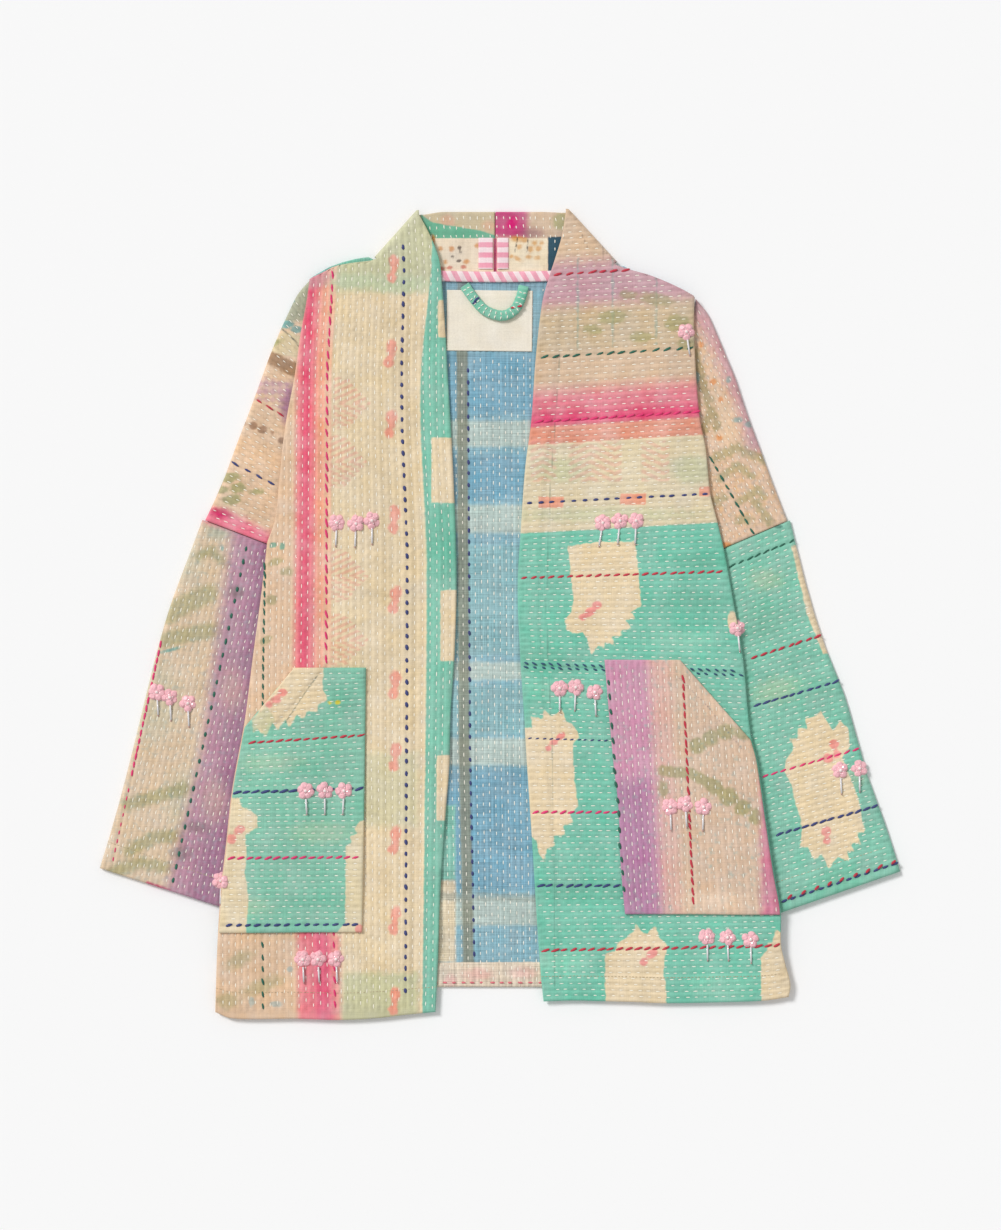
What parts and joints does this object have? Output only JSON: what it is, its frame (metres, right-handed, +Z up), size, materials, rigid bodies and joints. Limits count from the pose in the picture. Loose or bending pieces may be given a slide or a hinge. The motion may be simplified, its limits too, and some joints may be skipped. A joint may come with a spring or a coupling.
{
  "type": "quilted patchwork jacket with sequin flowers",
  "caption": "Open-fronted hip-length jacket of quilted patchwork cotton with patch pockets and sequin flowers, laid out flat, face up.",
  "frame": {"origin": "middle of the laid-out jacket's outline, on the surface it lies on", "axes": "+Z up from the surface, +Y towards the collar, +X towards the wearer's left sleeve"},
  "size_m": [0.7352, 0.7444, 0.015],
  "materials": {
    "back_cloth": "quilted cotton, blue check",
    "front_right_cloth": "quilted cotton, striped patchwork",
    "front_left_cloth": "quilted cotton, striped patchwork",
    "sleeve_upper_right_cloth": "quilted cotton",
    "sleeve_lower_right_cloth": "quilted cotton",
    "sleeve_upper_left_cloth": "quilted cotton",
    "sleeve_lower_left_cloth": "quilted cotton",
    "pocket_right_cloth": "quilted cotton",
    "pocket_left_cloth": "quilted cotton",
    "label_cotton": "plain woven cotton, bare",
    "striped_binding": "striped cotton",
    "loop_cloth": "stitched cotton tube"
  },
  "bodies": {
    "root": {"back": "back_cloth", "front_right": "front_right_cloth", "front_left": "front_left_cloth", "sleeve_upper_right": "sleeve_upper_right_cloth", "sleeve_lower_right": "sleeve_lower_right_cloth", "sleeve_upper_left": "sleeve_upper_left_cloth", "sleeve_lower_left": "sleeve_lower_left_cloth", "pocket_right": "pocket_right_cloth", "pocket_left": "pocket_left_cloth", "label": "label_cotton", "neck_binding": "striped_binding", "seam_binding_right": "striped_binding", "seam_binding_left": "striped_binding", "hanging_loop": "loop_cloth"}
  },
  "joints": []
}
